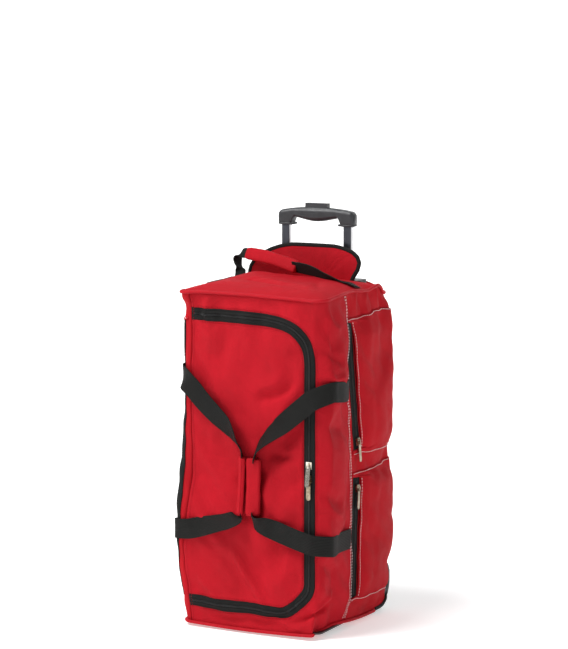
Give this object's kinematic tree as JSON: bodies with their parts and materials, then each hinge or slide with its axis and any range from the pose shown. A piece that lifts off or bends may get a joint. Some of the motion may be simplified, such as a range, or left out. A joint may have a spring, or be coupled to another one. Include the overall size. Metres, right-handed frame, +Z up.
{
  "type": "rolling duffel bag",
  "caption": "Upright soft rolling duffel bag with a zipped front lid, zipped side pockets, webbing handles, telescopic trolley handle and rear corner wheels.",
  "frame": {"origin": "on the floor, under the middle of the bag's overall box", "axes": "+Z up, +X to the bag's right, -Y the front with the lid"},
  "size_m": [0.3296, 0.345, 0.8275],
  "materials": {
    "red_fabric": "woven polyester, matt",
    "side_fabric": "woven polyester, matt",
    "black_fabric": "woven polyester, matt",
    "zip_tape": "knitted tape with coil",
    "webbing": "ribbed polypropylene webbing",
    "black_plastic": "textured",
    "grip_plastic": "satin moulded",
    "inner_plastic": "moulded",
    "tube_aluminium": "anodised, brushed along its length",
    "wheel_rubber": "matt",
    "steel": "satin",
    "nickel": "bright plated",
    "bronze": "dark antique plated"
  },
  "bodies": {
    "root": {"front_panel": "red_fabric", "lid_panel": "red_fabric", "top_end_panel": "red_fabric", "bottom_end_panel": "red_fabric", "top_piping": "red_fabric", "bottom_piping": "red_fabric", "right_side_panel": "side_fabric", "left_side_panel": "side_fabric", "upper_pocket_left": "side_fabric", "upper_pocket_right": "side_fabric", "lower_pocket_left": "side_fabric", "lower_pocket_right": "side_fabric", "back_panel": "black_fabric", "tube_cover_lining": "black_fabric", "main_zip": "zip_tape", "upper_zip_left": "zip_tape", "upper_zip_right": "zip_tape", "lower_zip_left": "zip_tape", "lower_zip_right": "zip_tape", "front_foot": "black_plastic", "top_bezel": "black_plastic", "lower_tube_bracket": "black_plastic", "wheel_housing_left": "black_plastic", "wheel_housing_right": "black_plastic", "base_board": "black_plastic", "outer_tube_left": "tube_aluminium", "outer_tube_right": "tube_aluminium", "axle_left": "steel", "axle_right": "steel"},
    "mid_stage": {"mid_tube_left": "tube_aluminium", "mid_tube_right": "tube_aluminium"},
    "trolley_top": {"inner_tube_left": "tube_aluminium", "inner_tube_right": "tube_aluminium", "grip": "grip_plastic"},
    "release": {"push_button": "grip_plastic", "release_yoke": "inner_plastic"},
    "lock_pins": {"lock_pin_left": "steel", "lock_pin_right": "steel"},
    "flap": {"trolley_flap": "red_fabric"},
    "wheel_left": {"wheel_left": "wheel_rubber"},
    "wheel_right": {"wheel_right": "wheel_rubber"},
    "front_handle_left": {"front_handle_strap_left": "webbing", "front_handle_sleeve_left": "red_fabric"},
    "front_handle_right": {"front_handle_strap_right": "webbing", "front_handle_sleeve_right": "red_fabric"},
    "top_handle": {"top_handle_strap": "webbing", "top_handle_sleeve": "red_fabric"},
    "slider_main_upper": {"slider_main_upper": "nickel"},
    "puller_main_upper": {"puller_main_upper": "nickel"},
    "slider_main_lower": {"slider_main_lower": "bronze"},
    "puller_main_lower": {"puller_main_lower": "bronze"},
    "slider_upper_left": {"slider_upper_left": "bronze"},
    "puller_upper_left": {"puller_upper_left": "bronze"},
    "slider_upper_right": {"slider_upper_right": "bronze"},
    "puller_upper_right": {"puller_upper_right": "bronze"},
    "slider_lower_left": {"slider_lower_left": "bronze"},
    "puller_lower_left": {"puller_lower_left": "bronze"},
    "slider_lower_right": {"slider_lower_right": "bronze"},
    "puller_lower_right": {"puller_lower_right": "bronze"}
  },
  "joints": [
    {"name": "mid_stage_slide", "type": "slide", "parent": "root", "child": "mid_stage", "axis": [0, 0, 1], "range_m": [0, 0.19]},
    {"name": "trolley_top_slide", "type": "slide", "parent": "mid_stage", "child": "trolley_top", "axis": [0, 0, 1], "range_m": [-0.1, 0.09]},
    {"name": "push_button_slide", "type": "slide", "parent": "trolley_top", "child": "release", "axis": [0, 0, -1], "range_m": [0, 0.004], "stiffness_N_per_m": 500, "springref_m": -0.004},
    {"name": "lock_pin_slide", "type": "slide", "parent": "trolley_top", "child": "lock_pins", "axis": [0, -1, 0], "range_m": [0, 0.002]},
    {"name": "flap_hinge", "type": "hinge", "parent": "root", "child": "flap", "pos_m": [0, 0.11, 0.67], "axis": [1, 0, 0], "range_deg": [-6, 14]},
    {"name": "wheel_left_spin", "type": "hinge", "parent": "root", "child": "wheel_left", "pos_m": [-0.1232, 0.1345, 0.032], "axis": [1, 0, 0], "continuous": true},
    {"name": "wheel_right_spin", "type": "hinge", "parent": "root", "child": "wheel_right", "pos_m": [0.1232, 0.1345, 0.032], "axis": [1, 0, 0], "continuous": true},
    {"name": "front_handle_left_hinge", "type": "hinge", "parent": "root", "child": "front_handle_left", "pos_m": [-0.157, -0.1585, 0.348], "axis": [0, 0, -1], "range_deg": [0, 110]},
    {"name": "front_handle_right_hinge", "type": "hinge", "parent": "root", "child": "front_handle_right", "pos_m": [0.157, -0.1585, 0.348], "axis": [0, 0, 1], "range_deg": [0, 110]},
    {"name": "top_handle_hinge", "type": "hinge", "parent": "root", "child": "top_handle", "pos_m": [0, 0, 0.68374], "axis": [1, 0, 0], "range_deg": [0, 100]},
    {"name": "slider_main_upper_slide", "type": "slide", "parent": "root", "child": "slider_main_upper", "axis": [0, 0, 1], "range_m": [0, 0.2]},
    {"name": "puller_main_upper_hinge", "type": "hinge", "parent": "slider_main_upper", "child": "puller_main_upper", "pos_m": [0.129, -0.1564, 0.346], "axis": [-1, 0, 0], "range_deg": [0, 150]},
    {"name": "slider_main_lower_slide", "type": "slide", "parent": "root", "child": "slider_main_lower", "axis": [0, 0, 1], "range_m": [-0.19, 0]},
    {"name": "puller_main_lower_hinge", "type": "hinge", "parent": "slider_main_lower", "child": "puller_main_lower", "pos_m": [0.129, -0.1564, 0.32], "axis": [-1, 0, 0], "range_deg": [0, 18]},
    {"name": "slider_upper_left_slide", "type": "slide", "parent": "root", "child": "slider_upper_left", "axis": [0, -0.0655, 0.9979], "range_m": [0, 0.22]},
    {"name": "puller_upper_left_hinge", "type": "hinge", "parent": "slider_upper_left", "child": "puller_upper_left", "pos_m": [-0.1601, -0.12162, 0.371], "axis": [0, 0.9979, 0.0655], "range_deg": [0, 150]},
    {"name": "slider_lower_left_slide", "type": "slide", "parent": "root", "child": "slider_lower_left", "axis": [0, 0.0452, 0.999], "range_m": [-0.2, 0]},
    {"name": "puller_lower_left_hinge", "type": "hinge", "parent": "slider_lower_left", "child": "puller_lower_left", "pos_m": [-0.1601, -0.1085, 0.277], "axis": [0, 0.999, -0.0452], "range_deg": [0, 150]},
    {"name": "slider_upper_right_slide", "type": "slide", "parent": "root", "child": "slider_upper_right", "axis": [0, -0.1526, 0.9883], "range_m": [0, 0.22]},
    {"name": "puller_upper_right_hinge", "type": "hinge", "parent": "slider_upper_right", "child": "puller_upper_right", "pos_m": [0.1601, 0.00387, 0.371], "axis": [0, -0.9883, -0.1526], "range_deg": [0, 150]},
    {"name": "slider_lower_right_slide", "type": "slide", "parent": "root", "child": "slider_lower_right", "axis": [0, 0.0575, 0.9983], "range_m": [-0.2, 0]},
    {"name": "puller_lower_right_hinge", "type": "hinge", "parent": "slider_lower_right", "child": "puller_lower_right", "pos_m": [0.1601, 0.00323, 0.277], "axis": [0, -0.9983, 0.0575], "range_deg": [0, 150]}
  ],
  "couplings": [
    {"joint": "lock_pin_slide", "follows": "push_button_slide", "ratio": 0.5}
  ]
}
